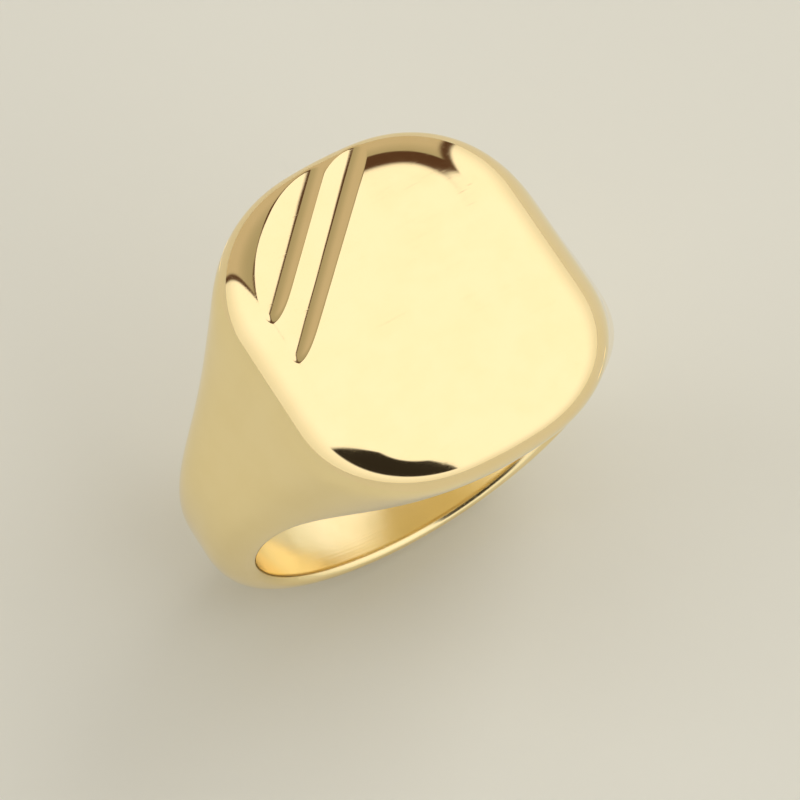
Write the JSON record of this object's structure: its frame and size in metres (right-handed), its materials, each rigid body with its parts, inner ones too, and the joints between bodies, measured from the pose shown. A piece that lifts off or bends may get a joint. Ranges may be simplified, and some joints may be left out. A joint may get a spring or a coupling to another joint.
{
  "type": "signet ring",
  "caption": "Polished yellow gold signet ring with a flat cushion-shaped face, diagonal flutes across one corner, tapering shoulders and a D-section band.",
  "frame": {"origin": "centre of the finger bore, halfway between its two mouths", "axes": "+Z out through the flat face, Y along the finger with -Y the front, X from the left shoulder to the right shoulder; the fluted corner of the face is at -X +Y"},
  "size_m": [0.0236, 0.0178, 0.0256],
  "materials": {
    "gold_face": "mirror polished",
    "gold_body": "polished",
    "gold_bore": "polished, softened by wear"
  },
  "bodies": {
    "root": {"face_plate": "gold_face", "head_wall": "gold_body", "left_shoulder": "gold_body", "right_shoulder": "gold_body", "shank": "gold_body", "inner_sleeve": "gold_bore"}
  },
  "joints": []
}
